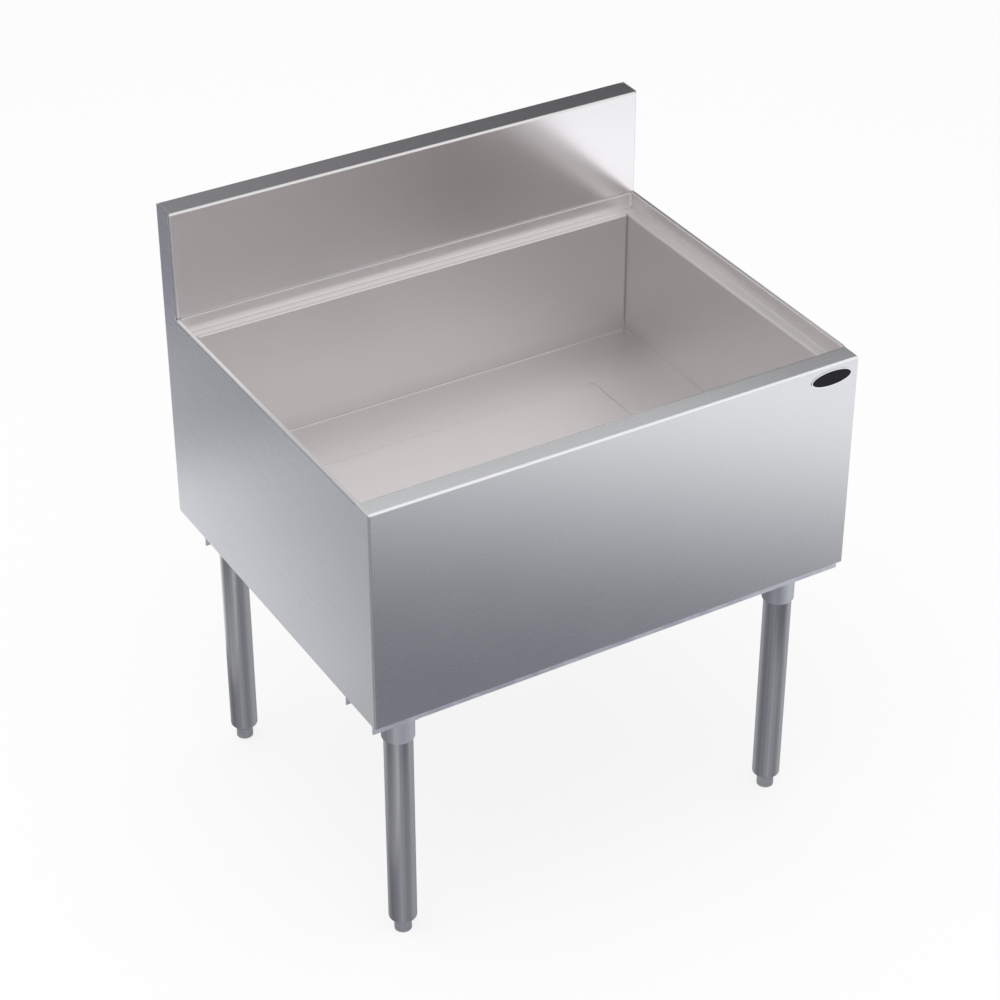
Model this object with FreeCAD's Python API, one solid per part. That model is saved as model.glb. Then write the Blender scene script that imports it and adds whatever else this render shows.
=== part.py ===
import FreeCAD, Part
import math
import os

# Insulated underbar ice bin on four tubular legs, in millimetres.
# +X is to the right, +Y to the back, +Z up. The origin is on the floor, at the middle of
# the bin's width and depth. Each piece is a solid of its own, written to parts/NAME.step.

# ---------------------------------------------------------------- driving dimensions

# casing
overall_width = 762.0
overall_depth = 609.6  # from the badge's face to the rivet heads on the back
casing_bottom = 426.7  # lower edge of the panels above the floor
casing_height = 341.7  # from that edge to the rim
splash_rise = 165.1  # the backsplash above the rim
sheet = 1.2
bend_inside = 1.8
rim_width = 33.0  # flat front rim, and the apron's return onto each side
splash_depth = 42.4
side_edge_width = 5.8  # thin top edge of each side, from the outside to the upstand
back_flange = 16.2  # side panel's return behind the rear panel
splash_return = 22.0  # backsplash's returns at its back, bottom and ends
liner_back_flange = 12.0
pan_upturn = 15.0
rear_panel_drop = 5.0  # rear panel's top edge below the top of the backsplash
seam = 0.3  # clearance between folded edges that meet

# bin liner
ledge_drop = 25.0  # the recessed ledge below the rim
ledge_width = 17.0
bin_depth = 226.0  # floor below the rim
liner_corner = 3.5
ledge_bend = 3.0
bullnose = 4.0
rim_round = 2.0
recess_length = 467.0
recess_width = 290.0
recess_depth = 1.2
recess_corner = 15.0

# insulation
foam_fit = 0.8

# drain
drain_forward = 12.0  # its axis ahead of the middle of the bin
drain_flange_radius = 38.0
drain_flange = 2.0
drain_gasket = 1.5
drain_seat_gap = 1.5  # between the flange and the wall of its seat
drain_neck_radius = 23.0
drain_neck = 45.0
drain_bore_radius = 20.0
drain_bore_depth = 20.0
drain_socket_depth = 20.0
tail_radius = 16.7  # hose end
tail_shank_radius = 16.1
tail_wall = 3.4
tail_below_pan = 40.0
hose_end_length = 34.0
drain_washer = 1.5
drain_washer_radius = 34.0
locknut_flats = 60.0
locknut = 10.0
locknut_edge = 1.0  # where its corners' cone starts, beyond the flats
foam_pocket_radius = 40.0
strainer_radius = 24.0
strainer_sheet = 1.0
strainer_hole_radius = 2.0
strainer_first_ring = 7.5
strainer_ring_step = 6.5
strainer_hole_pitch = 7.3
crossbar_width = 7.0
crossbar_drop = 6.0
crossbar_height = 5.0
crossbar_root = 0.5  # how far the bar's ends run into the drain's wall
crossbar_boss = 1.0  # the boss round the screw, beyond the bar's sides
strainer_screw_radius = 2.5
strainer_screw_head_radius = 4.5
strainer_screw_head = 2.2
strainer_screw_edge = 0.8
strainer_screw_slot_width = 1.0
strainer_screw_slot_depth = 1.0
strainer_screw_length = 9.0
grommet_hole_radius = 20.0
grommet_lip = 4.0
grommet_lip_thickness = 1.5
running_gap = 0.05  # radial, between a shaft and its hole
loose_gap = 0.2  # radial, where nothing turns

# legs
leg_inset_side = 65.7
leg_inset_front = 59.6
leg_inset_back = 37.3
leg_tube_radius = 20.65  # 1-5/8 in tube
leg_tube_wall = 1.5
socket_wall = 2.7
socket_gap = 0.15
socket_length = 72.0
socket_top = 2.5
channel_width = 77.0
channel_height = 16.5
channel_sheet = 2.0
channel_end_gap = 2.0
channel_notch = 14.0  # length cut off both rear corners of the rear channel
leg_behind_flange = 49.0  # leg's axis behind the channel's front flange
channel_screw_pitch = 160.0
channel_screw_count = 4
channel_screw_radius = 3.0
channel_screw_length = 14.0
channel_screw_head_flats = 10.0
channel_screw_head = 4.0
set_screw_radius = 4.0
set_screw_rise = 18.0  # above the socket's lower edge
set_screw_length = 9.0
set_screw_key_flats = 4.0
set_screw_key_depth = 3.5

# bullet feet
foot_height = 27.0
foot_shank_radius = 12.7
foot_shank_height = 18.5
foot_top_radius = 20.3
foot_edge = 1.0
foot_floor = 5.0  # solid metal under the stud
stud_radius = 7.9375  # 5/8 in thread with 11 turns to the inch
stud_rise = 45.0  # above the foot
stud_end_gap = 0.3
stud_chamfer = 1.0
insert_length = 30.0

# rivets and badge
rivet_head_height = 1.2
rivet_head_radius = 3.4
rivet_radius = 1.6
rivet_length = 3.2
rivet_pitch_up = 118.0
rivet_pitch_across = 150.0
rivet_margin = 22.0  # first rivet above the casing's lower edge
badge_thickness = 1.2
badge_length = 67.5
badge_height = 25.0
badge_border = 1.5
badge_face_depth = 0.5
badge_recess = 0.1
badge_from_side = 45.7
badge_below_rim = 20.1

# ---------------------------------------------------------------- levels and faces

bend_outside = bend_inside + sheet
cut = 1.0  # how far a cutting block reaches past what it cuts
half_width = overall_width / 2
front_face = -overall_depth / 2 + badge_thickness
back_face = overall_depth / 2 - rivet_head_height
rim_height = casing_bottom + casing_height
splash_top = rim_height + splash_rise
splash_face = back_face - splash_depth
rim_back = front_face + rim_width
wall_inside = half_width - sheet
rear_panel_front = back_face - sheet
flange_front = rear_panel_front - sheet
upstand_half = half_width - side_edge_width
ledge_level = rim_height - ledge_drop
floor_level = rim_height - bin_depth
cavity_half = upstand_half - ledge_width
cavity_front = rim_back + ledge_width
cavity_back = splash_face - ledge_width
cavity_middle = (cavity_front + cavity_back) / 2
drain_middle = cavity_middle - drain_forward
recess_level = floor_level - recess_depth
drain_seat = recess_level - drain_gasket - drain_flange
pan_top = casing_bottom + sheet
channel_top = casing_bottom - channel_sheet
socket_bottom = channel_top - socket_length
leg_x = half_width - leg_inset_side
front_leg_y = front_face + leg_inset_front
rear_leg_y = back_face - leg_inset_back
socket_radius = leg_tube_radius + socket_gap + socket_wall
liner_hole_radius = drain_neck_radius + loose_gap
foam_half = wall_inside - foam_fit
foam_front = front_face + sheet + foam_fit
foam_back = flange_front - foam_fit
foam_top = ledge_level - sheet
foam_floor = floor_level - sheet
foam_bottom = casing_bottom + pan_upturn + foam_fit
legs = {
    "front_left": (-leg_x, front_leg_y),
    "front_right": (leg_x, front_leg_y),
    "rear_left": (-leg_x, rear_leg_y),
    "rear_right": (leg_x, rear_leg_y),
}

# ---------------------------------------------------------------- shapes


def block(x, y, z):
    """A box between a low and a high value on each axis."""
    corner = FreeCAD.Vector(x[0], y[0], z[0])
    return Part.makeBox(x[1] - x[0], y[1] - y[0], z[1] - z[0], corner)


def post(radius, low, high, x=0.0, y=0.0):
    """An upright cylinder between two levels."""
    return Part.makeCylinder(radius, high - low, FreeCAD.Vector(x, y, low))


def hexagon(flats, low, high, x=0.0, y=0.0):
    """An upright hexagonal bar, by its width across flats."""
    reach = flats / math.sqrt(3)
    turns = [math.radians(60 * n) for n in range(7)]
    points = [
        FreeCAD.Vector(x + reach * math.cos(a), y + reach * math.sin(a), low)
        for a in turns
    ]
    face = Part.Face(Part.makePolygon(points))
    return face.extrude(FreeCAD.Vector(0, 0, high - low))


def turned(profile, x=0.0, y=0.0):
    """A solid of revolution about an upright axis, from its (radius, level) corners."""
    points = [FreeCAD.Vector(x + r, y, z) for r, z in profile + profile[:1]]
    face = Part.Face(Part.makePolygon(points))
    return face.revolve(FreeCAD.Vector(x, y, 0), FreeCAD.Vector(0, 0, 1), 360)


def near(a, b):
    return abs(a - b) < 0.001


def edges_where(shape, test):
    """The shape's edges whose ends and middle all pass a test."""
    found = []
    for edge in shape.Edges:
        first, last = edge.ParameterRange
        spots = [edge.valueAt(first + (last - first) * share) for share in (0.0, 0.5, 1.0)]
        if all(test(spot) for spot in spots):
            found.append(edge)
    return found


def mirrored(shape):
    """The same shape on the other side of the middle plane."""
    return shape.mirror(FreeCAD.Vector(0, 0, 0), FreeCAD.Vector(1, 0, 0))


def joined(*shapes):
    return shapes[0].multiFuse(list(shapes[1:])).removeSplitter()


def folded(path, place, along):
    """A sheet folded along a path of (u, v) corners, with its thickness on the path's left.

    place turns (u, v) into a point, and along is the vector that the section is drawn out by.
    Each corner gets the sheet's bend radii.
    """
    steps = [(b[0] - a[0], b[1] - a[1]) for a, b in zip(path, path[1:])]
    ways = [(u / math.hypot(u, v), v / math.hypot(u, v)) for u, v in steps]

    def side(offset):
        """The path's lines, moved to the left, and their rounded corners."""
        corners = []
        for n, (u, v) in enumerate(path):
            before = ways[max(n - 1, 0)]
            after = ways[min(n, len(ways) - 1)]
            turn = 1 + before[0] * after[0] + before[1] * after[1]
            left = (-(before[1] + after[1]) / turn, (before[0] + after[0]) / turn)
            corners.append((u + offset * left[0], v + offset * left[1]))
        pieces = []
        start = corners[0]
        for n in range(1, len(path) - 1):
            before, after = ways[n - 1], ways[n]
            cross = before[0] * after[1] - before[1] * after[0]
            bends_left = cross > 0
            on_inside = bends_left == (offset > 0)
            radius = bend_inside if on_inside else bend_inside + sheet
            half_turn = math.atan2(abs(cross), 1 + before[0] * after[0] + before[1] * after[1])
            back = radius * math.tan(half_turn)
            u, v = corners[n]
            enter = (u - back * before[0], v - back * before[1])
            leave = (u + back * after[0], v + back * after[1])
            toward = (after[0] - before[0], after[1] - before[1])
            length = math.hypot(*toward)
            out = radius / math.cos(half_turn) - radius
            crown = (u + out * toward[0] / length, v + out * toward[1] / length)
            pieces.append((start, enter))
            pieces.append((enter, crown, leave))
            start = leave
        pieces.append((start, corners[-1]))
        return pieces

    def drawn(piece):
        points = [place(*spot) for spot in piece]
        curve = Part.LineSegment(*points) if len(points) == 2 else Part.Arc(*points)
        return curve.toShape()

    right = side(0.0)
    left = side(sheet)
    ends = [(right[-1][-1], left[-1][-1]), (left[0][0], right[0][0])]
    edges = [drawn(piece) for piece in right + left + ends]
    wire = Part.Wire(Part.__sortEdges__(edges))
    return Part.Face(wire).extrude(along)


# ---------------------------------------------------------------- casing


def front_apron():
    """Front panel, its returns onto the sides, the flat rim and the lip inside the bin."""

    def hull(inset, bottom, back, lip):
        """The folded outline, open at the back or with the lip's bend along its top."""
        shape = block(
            (-half_width + inset, half_width - inset),
            (front_face + inset, back),
            (bottom, rim_height - inset),
        )
        sharp = edges_where(
            shape,
            lambda p: near(p.z, rim_height - inset)
            or (near(p.y, front_face + inset) and near(abs(p.x), half_width - inset)),
        )
        sharp = [edge for edge in sharp if lip or not near(edge.BoundBox.YMin, back)]
        return shape.makeFillet(bend_outside - inset, sharp)

    below = casing_bottom - cut
    lip_half = upstand_half - seam
    behind = (rim_back - sheet, rim_back + cut)
    middle = hull(0.0, casing_bottom, rim_back, True)
    middle = middle.cut(hull(sheet, below, rim_back - sheet, True))
    lip_bottom = ledge_level + ledge_bend + seam
    middle = middle.cut(block((-half_width, half_width), behind, (below, lip_bottom)))
    middle = middle.common(block((-lip_half, lip_half), (front_face, rim_back), (below, rim_height)))
    ends = hull(0.0, casing_bottom, rim_back, False)
    ends = ends.cut(hull(sheet, below, rim_back + cut, False))
    ends = ends.cut(block((-lip_half, lip_half), (front_face - cut, rim_back + cut), (below, rim_height + cut)))
    return joined(middle, ends)


def right_side_panel():
    """L-shaped side: outer wall, top edge folded in, rear return, and the splash's end."""
    shoulder_top = rim_height - sheet
    lower = folded(
        [(half_width, casing_bottom), (half_width, shoulder_top), (upstand_half + sheet, shoulder_top)],
        lambda u, v: FreeCAD.Vector(u, rim_back, v),
        FreeCAD.Vector(0, splash_face - rim_back, 0),
    )
    rear = folded(
        [
            (half_width, splash_face),
            (half_width, rear_panel_front),
            (half_width - back_flange, rear_panel_front),
        ],
        lambda u, v: FreeCAD.Vector(u, v, casing_bottom),
        FreeCAD.Vector(0, 0, splash_top - casing_bottom),
    )
    flange_top = splash_top - splash_return - seam
    reach = (half_width - back_flange - cut, wall_inside)
    behind = (flange_front - cut, rear_panel_front + cut)
    rear = rear.cut(block(reach, behind, (casing_bottom - cut, pan_top)))
    rear = rear.cut(block(reach, behind, (flange_top, splash_top + cut)))
    beside_bend = (splash_face - cut, splash_face + bend_outside)
    rear = rear.cut(block((wall_inside - cut, half_width + cut), beside_bend, (rim_height, splash_top + cut)))
    return joined(lower, rear).cut(rivets(rivet_radius + running_gap))


def backsplash():
    """Box section: face, top, and returns at the back, the bottom and both ends."""
    half = wall_inside - seam

    def hull(inset):
        shape = block(
            (-half + inset, half - inset),
            (splash_face + inset, rear_panel_front - inset),
            (rim_height + inset, splash_top - inset),
        )
        return shape.makeFillet(bend_outside - inset, shape.Edges)

    shape = hull(0.0).cut(hull(sheet))
    open_half = half - splash_return
    open_back = block(
        (-half - cut, half + cut),
        (flange_front - bend_inside, rear_panel_front + cut),
        (rim_height - cut, splash_top - splash_return),
    )
    open_ends = block(
        (-half - cut, half + cut),
        (splash_face + splash_return, rear_panel_front + cut),
        (rim_height - cut, splash_top - bend_outside),
    )
    keep_back = block(
        (-open_half, open_half),
        (flange_front - bend_inside, rear_panel_front + cut),
        (splash_top - splash_return, splash_top),
    )
    open_ends = open_ends.cut(keep_back)
    shape = shape.cut(open_back).cut(open_ends)
    return shape.cut(rivets(rivet_radius + running_gap))


def rear_panel():
    """Flat back, riveted over the returns of the sides, the backsplash and the pan."""
    half = half_width - bend_outside
    shape = block(
        (-half, half), (rear_panel_front, back_face), (casing_bottom, splash_top - rear_panel_drop)
    )
    return shape.cut(rivets(rivet_radius + running_gap))


def bottom_pan():
    """Tray that closes the casing from below, with its edges turned up inside the panels."""

    def hull(inset, top):
        shape = block(
            (-wall_inside + inset, wall_inside - inset),
            (front_face + sheet + inset, rear_panel_front - inset),
            (casing_bottom + inset, top),
        )
        sharp = edges_where(
            shape,
            lambda p: near(p.z, casing_bottom + inset)
            or (
                near(abs(p.x), wall_inside - inset)
                and (near(p.y, front_face + sheet + inset) or near(p.y, rear_panel_front - inset))
            ),
        )
        return shape.makeFillet(bend_outside - inset, sharp)

    upturn_top = casing_bottom + pan_upturn
    shape = hull(0.0, upturn_top).cut(hull(sheet, upturn_top + cut))
    notch = (half_width - back_flange - seam, half_width)
    behind = (flange_front - bend_inside - seam, rear_panel_front + cut)
    above = (pan_top, upturn_top + cut)
    corner = block(notch, behind, above)
    shape = shape.cut(corner).cut(mirrored(corner))
    shape = shape.cut(post(grommet_hole_radius, casing_bottom - cut, pan_top + cut, 0, drain_middle))
    shape = shape.cut(channel_screws(loose_gap))
    return shape.cut(rivets(rivet_radius + running_gap))


def rivet_places():
    """(x, z) of each rivet: up both side returns, across the pan and across the backsplash."""
    side_x = half_width - bend_outside - (back_flange - bend_outside) / 2
    top_z = splash_top - rear_panel_drop - (splash_return - rear_panel_drop) / 2
    low_z = casing_bottom + pan_upturn / 2 + bend_outside / 2
    first_z = casing_bottom + rivet_margin
    rows = int((top_z - splash_return - first_z) / rivet_pitch_up) + 1
    spread = int(side_x / rivet_pitch_across)
    across = [rivet_pitch_across * n for n in range(-spread, spread + 1)]
    up = [first_z + rivet_pitch_up * n for n in range(rows)]
    places = [(x, z) for x in (-side_x, side_x) for z in up]
    return places + [(x, z) for x in across for z in (low_z, top_z)]


def rivets(radius):
    """Every rivet's shank, with this radius, as one group of separate solids."""
    backward = FreeCAD.Vector(0, 1, 0)
    start = back_face - rivet_length
    shanks = [
        Part.makeCylinder(radius, rivet_length, FreeCAD.Vector(x, start, z), backward)
        for x, z in rivet_places()
    ]
    return Part.makeCompound(shanks)


def rear_panel_rivets():
    """Low domed rivets on the back."""
    sphere = (rivet_head_radius**2 + rivet_head_height**2) / (2 * rivet_head_height)
    solids = []
    for shank, (x, z) in zip(rivets(rivet_radius).Solids, rivet_places()):
        middle = FreeCAD.Vector(x, back_face + rivet_head_height - sphere, z)
        disc = Part.makeCylinder(
            rivet_head_radius,
            rivet_head_height,
            FreeCAD.Vector(x, back_face, z),
            FreeCAD.Vector(0, 1, 0),
        )
        head = disc.common(Part.makeSphere(sphere, middle))
        solids.append(joined(shank, head))
    return Part.makeCompound(solids)


# ---------------------------------------------------------------- liner and insulation


def basin(grow):
    """The bin's hollow with its ledge, or with grow the outside of the sheet round it."""
    low = floor_level - grow
    half = cavity_half + grow
    front = cavity_front - grow
    back = cavity_back + grow
    lower = block((-half, half), (front, back), (low, ledge_level))
    round_edges = edges_where(
        lower,
        lambda p: near(p.z, low)
        or (near(abs(p.x), half) and (near(p.y, front) or near(p.y, back))),
    )
    lower = lower.makeFillet(liner_corner + grow, round_edges)

    step = ledge_level - grow
    upper_half = upstand_half + grow
    upper_back = splash_face + grow
    upper = block(
        (-upper_half, upper_half), (rim_back - sheet - grow, upper_back), (step, rim_height - sheet)
    )
    corners = edges_where(upper, lambda p: near(abs(p.x), upper_half) and near(p.y, upper_back))
    upper = upper.makeFillet(liner_corner + grow, corners)
    foot = edges_where(upper, lambda p: near(p.z, step))
    upper = upper.makeFillet(ledge_bend + grow, foot)

    both = joined(lower, upper)
    mouth = edges_where(
        both,
        lambda p: near(p.z, step) and abs(p.x) < half + 0.01 and front - 0.01 < p.y < back + 0.01,
    )
    both = both.makeFillet(bullnose - grow, mouth)

    half = recess_length / 2 + grow
    across = (cavity_middle - recess_width / 2 - grow, cavity_middle + recess_width / 2 + grow)
    bed = recess_level - grow
    recess = block((-half, half), across, (bed, floor_level + cut))
    corners = edges_where(
        recess, lambda p: near(abs(p.x), half) and (near(p.y, across[0]) or near(p.y, across[1]))
    )
    recess = recess.makeFillet(recess_corner + grow, corners)
    recess = recess.makeChamfer(recess_depth, edges_where(recess, lambda p: near(p.z, bed)))
    seat_radius = drain_flange_radius + drain_seat_gap + grow
    seat = post(seat_radius, drain_seat - grow, floor_level, 0, drain_middle)
    return joined(both, recess, seat)


def bin_liner():
    """Welded inner bin: floor, walls, ledge, upstand and the rim's thin flange."""
    flange = block(
        (-half_width, half_width),
        (rim_back, splash_face + sheet + liner_back_flange),
        (rim_height - sheet, rim_height),
    )
    beside_splash = block(
        (wall_inside - seam, half_width + cut),
        (splash_face, back_face),
        (rim_height - sheet - cut, rim_height + cut),
    )
    flange = flange.cut(beside_splash).cut(mirrored(beside_splash))
    mouth = block(
        (-upstand_half, upstand_half),
        (rim_back - sheet, splash_face),
        (rim_height - sheet - cut, rim_height + cut),
    )
    corners = edges_where(
        mouth, lambda p: near(abs(p.x), upstand_half) and near(p.y, splash_face)
    )
    mouth = mouth.makeFillet(liner_corner, corners)
    hole = post(liner_hole_radius, drain_seat - sheet - cut, drain_seat + cut, 0, drain_middle)
    under_bend = block(
        (-upstand_half, upstand_half),
        (rim_back - 2 * sheet - cut, rim_back - sheet),
        (rim_height - bend_outside - seam, rim_height + cut),
    )
    shape = joined(basin(sheet), flange)
    shape = shape.cut(joined(basin(0.0), mouth, hole, under_bend)).removeSplitter()
    top_edges = edges_where(
        shape,
        lambda p: near(p.z, rim_height)
        and abs(p.x) < upstand_half + 0.01
        and rim_back - 0.01 < p.y < splash_face + 0.01,
    )
    return shape.makeFillet(rim_round, top_edges)


def insulation():
    """Five rigid foam blocks, cut to the liner's outside."""
    liner_half = cavity_half + sheet
    liner_front = cavity_front - sheet
    liner_back = cavity_back + sheet
    tall = (foam_floor, foam_top)
    across = (-foam_half, foam_half)
    blocks = {
        "front_insulation": block(across, (foam_front, liner_front), tall),
        "rear_insulation": block(across, (liner_back, foam_back), tall),
        "left_insulation": block((-foam_half, -liner_half), (liner_front, liner_back), tall),
        "right_insulation": block((liner_half, foam_half), (liner_front, liner_back), tall),
        "bottom_insulation": block(
            across, (foam_front, foam_back), (foam_bottom, foam_floor)
        ),
    }
    pocket = post(foam_pocket_radius, foam_bottom - cut, foam_floor + cut, 0, drain_middle)
    outside = joined(basin(sheet), pocket)
    return {name: shape.cut(outside) for name, shape in blocks.items()}


# ---------------------------------------------------------------- drain


def drain_body():
    """Flanged drain with a counterbore for the strainer and a crossbar for its screw."""
    flange_top = recess_level
    neck_bottom = drain_seat - drain_neck
    bore_bottom = flange_top - drain_bore_depth
    socket_roof = neck_bottom + drain_socket_depth
    shelf = flange_top - strainer_sheet
    pipe_bore = tail_radius - tail_wall
    socket = tail_shank_radius + running_gap
    shape = turned(
        [
            (strainer_radius + loose_gap, flange_top),
            (drain_flange_radius, flange_top),
            (drain_flange_radius, flange_top - drain_flange),
            (drain_neck_radius, flange_top - drain_flange),
            (drain_neck_radius, neck_bottom),
            (socket, neck_bottom),
            (socket, socket_roof),
            (pipe_bore, socket_roof),
            (pipe_bore, bore_bottom),
            (drain_bore_radius, bore_bottom),
            (drain_bore_radius, shelf),
            (strainer_radius + loose_gap, shelf),
        ],
        0,
        drain_middle,
    )
    bar_top = shelf - crossbar_drop
    reach = drain_bore_radius + crossbar_root
    bar = block(
        (-reach, reach),
        (drain_middle - crossbar_width / 2, drain_middle + crossbar_width / 2),
        (bar_top - crossbar_height, bar_top),
    )
    boss_radius = crossbar_width / 2 + crossbar_boss
    boss = post(boss_radius, bar_top - crossbar_height, shelf, 0, drain_middle)
    tapped = post(
        strainer_screw_radius + running_gap, bar_top - crossbar_height - cut, shelf + cut, 0, drain_middle
    )
    return joined(shape, bar, boss).cut(tapped)


def drain_strainer():
    """Perforated disc that lies flush in the drain's counterbore."""
    shape = post(strainer_radius, recess_level - strainer_sheet, recess_level, 0, drain_middle)
    radius = strainer_first_ring
    while radius + strainer_hole_radius < drain_bore_radius:
        count = int(2 * math.pi * radius / strainer_hole_pitch)
        for n in range(count):
            turn = 2 * math.pi * n / count
            x = radius * math.cos(turn)
            y = drain_middle + radius * math.sin(turn)
            hole = post(strainer_hole_radius, recess_level - strainer_sheet - cut, recess_level + cut, x, y)
            shape = shape.cut(hole)
        radius += strainer_ring_step
    centre = post(
        strainer_screw_radius + loose_gap,
        recess_level - strainer_sheet - cut,
        recess_level + cut,
        0,
        drain_middle,
    )
    return shape.cut(centre)


def strainer_screw():
    """Pan-head screw with a slot, in the drain's crossbar."""
    head_top = recess_level + strainer_screw_head
    shape = turned(
        [
            (0, recess_level - strainer_screw_length),
            (strainer_screw_radius, recess_level - strainer_screw_length),
            (strainer_screw_radius, recess_level),
            (strainer_screw_head_radius, recess_level),
            (strainer_screw_head_radius, head_top - strainer_screw_edge),
            (strainer_screw_head_radius - strainer_screw_edge, head_top),
            (0, head_top),
        ],
        0,
        drain_middle,
    )
    slot = block(
        (-strainer_screw_head_radius, strainer_screw_head_radius),
        (
            drain_middle - strainer_screw_slot_width / 2,
            drain_middle + strainer_screw_slot_width / 2,
        ),
        (head_top - strainer_screw_slot_depth, head_top + cut),
    )
    return shape.cut(slot)


def ring(outer, inner, low, high):
    """A flat ring round the drain's axis."""
    return post(outer, low, high, 0, drain_middle).cut(
        post(inner, low - cut, high + cut, 0, drain_middle)
    )


def drain_locknut():
    """Hexagonal nut that clamps the drain up against the liner's underside."""
    top = drain_seat - sheet - drain_washer
    shape = hexagon(locknut_flats, top - locknut, top, 0, drain_middle)
    corner_cone = turned(
        [
            (0, top - locknut),
            (locknut_flats / 2 + locknut_edge, top - locknut),
            (locknut_flats / 2 + locknut_edge + locknut, top),
            (0, top),
        ],
        0,
        drain_middle,
    )
    hole = post(drain_neck_radius + running_gap, top - locknut - cut, top + cut, 0, drain_middle)
    return shape.common(corner_cone).cut(hole)


def drain_tailpiece():
    """Pipe from the drain's socket down through the pan, with a wider end for a hose."""
    top = drain_seat - drain_neck + drain_socket_depth
    low = casing_bottom - tail_below_pan
    bore = tail_radius - tail_wall
    return joined(
        ring(tail_shank_radius, bore, low, top),
        ring(tail_radius, bore, low, low + hose_end_length),
    )


def drain_grommet():
    """Rubber ring in the pan's hole, round the tailpiece."""
    inner = tail_shank_radius + loose_gap
    lip = grommet_hole_radius + grommet_lip
    neck = grommet_hole_radius - running_gap
    low = casing_bottom - grommet_lip_thickness
    high = pan_top + grommet_lip_thickness
    return turned(
        [
            (inner, low),
            (lip, low),
            (lip, casing_bottom),
            (neck, casing_bottom),
            (neck, pan_top),
            (lip, pan_top),
            (lip, high),
            (inner, high),
        ],
        0,
        drain_middle,
    )


# ---------------------------------------------------------------- legs and feet


def channel_screws(gap):
    """Shanks of the screws that hold both channels to the pan, widened by a gap."""
    first = -channel_screw_pitch * (channel_screw_count - 1) / 2
    shanks = []
    for leg_y in (front_leg_y, rear_leg_y):
        y = leg_y - leg_behind_flange + channel_width / 2
        for n in range(channel_screw_count):
            x = first + channel_screw_pitch * n
            shanks.append(
                post(channel_screw_radius + gap, channel_top, channel_top + channel_screw_length, x, y)
            )
    return Part.makeCompound(shanks)


def channel_screw_group():
    """Hexagon-head screws driven up through the channels into the pan."""
    solids = []
    for shank in channel_screws(0.0).Solids:
        middle = shank.CenterOfMass
        head = hexagon(
            channel_screw_head_flats, channel_top - channel_screw_head, channel_top, middle.x, middle.y
        )
        solids.append(joined(shank, head))
    return Part.makeCompound(solids)


def leg_channel(leg_y, notch):
    """Steel channel, open downwards, that carries two legs, with its rear corners notched."""
    front = leg_y - leg_behind_flange
    back = front + channel_width
    half = half_width - channel_end_gap
    low = casing_bottom - channel_height
    outside = block((-half, half), (front, back), (low, casing_bottom))
    tops = edges_where(
        outside, lambda p: near(p.z, casing_bottom) and (near(p.y, front) or near(p.y, back))
    )
    outside = outside.makeFillet(bend_inside + channel_sheet, tops)
    inside = block(
        (-half - cut, half + cut), (front + channel_sheet, back - channel_sheet), (low - cut, channel_top)
    )
    tops = edges_where(
        inside,
        lambda p: near(p.z, channel_top)
        and (near(p.y, front + channel_sheet) or near(p.y, back - channel_sheet)),
    )
    inside = inside.makeFillet(bend_inside, tops)
    shape = outside.cut(inside).cut(channel_screws(loose_gap))
    if notch > 0:
        flange = (back - channel_sheet - bend_inside, back + cut)
        corner = block((half - notch, half + cut), flange, (low - cut, casing_bottom + cut))
        shape = shape.cut(corner).cut(mirrored(corner))
    return shape


def set_screw_hole(x, y, radius, start, length):
    """A level cylinder from the leg's axis towards the middle of the bin."""
    way = -math.copysign(1.0, x)
    spot = FreeCAD.Vector(x + way * start, y, socket_bottom + set_screw_rise)
    return Part.makeCylinder(radius, length, spot, FreeCAD.Vector(way, 0, 0))


def leg_socket(x, y):
    """Round cup, closed at the top, welded under the channel."""
    shape = post(socket_radius, socket_bottom, channel_top, x, y)
    bore = post(leg_tube_radius + socket_gap, socket_bottom - cut, channel_top - socket_top, x, y)
    screw = set_screw_hole(x, y, set_screw_radius + running_gap, leg_tube_radius, 2 * socket_wall)
    return shape.cut(bore).cut(screw)


def set_screws():
    """One headless screw in each socket, bearing on the tube."""
    solids = []
    start = leg_tube_radius + running_gap
    for x, y in legs.values():
        way = -math.copysign(1.0, x)
        screw = set_screw_hole(x, y, set_screw_radius, start, set_screw_length)
        key = hexagon(set_screw_key_flats, 0, set_screw_key_depth + cut)
        key.rotate(FreeCAD.Vector(0, 0, 0), FreeCAD.Vector(0, 1, 0), 90)
        deep = start + set_screw_length - set_screw_key_depth
        from_x = x + way * deep if way > 0 else x + way * (deep + set_screw_key_depth + cut)
        key.translate(FreeCAD.Vector(from_x, y, socket_bottom + set_screw_rise))
        solids.append(screw.cut(key))
    return Part.makeCompound(solids)


def leg_tube(x, y):
    """Round tube from the socket's closed top down to the foot."""
    top = channel_top - socket_top
    bore = leg_tube_radius - leg_tube_wall
    return post(leg_tube_radius, foot_height, top, x, y).cut(
        post(bore, foot_height - cut, top + cut, x, y)
    )


def foot_insert(x, y):
    """Threaded plug pressed into the tube's lower end."""
    outer = leg_tube_radius - leg_tube_wall - running_gap
    shape = post(outer, foot_height, foot_height + insert_length, x, y)
    return shape.cut(
        post(stud_radius + running_gap, foot_height - cut, foot_height + insert_length + cut, x, y)
    )


def foot_stud(x, y):
    """The foot's stud, drawn as the cylinder of its thread's crests."""
    low = foot_floor + stud_end_gap
    high = foot_height + stud_rise
    return turned(
        [
            (0, low),
            (stud_radius, low),
            (stud_radius, high - stud_chamfer),
            (stud_radius - stud_chamfer, high),
            (0, high),
        ],
        x,
        y,
    )


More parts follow.
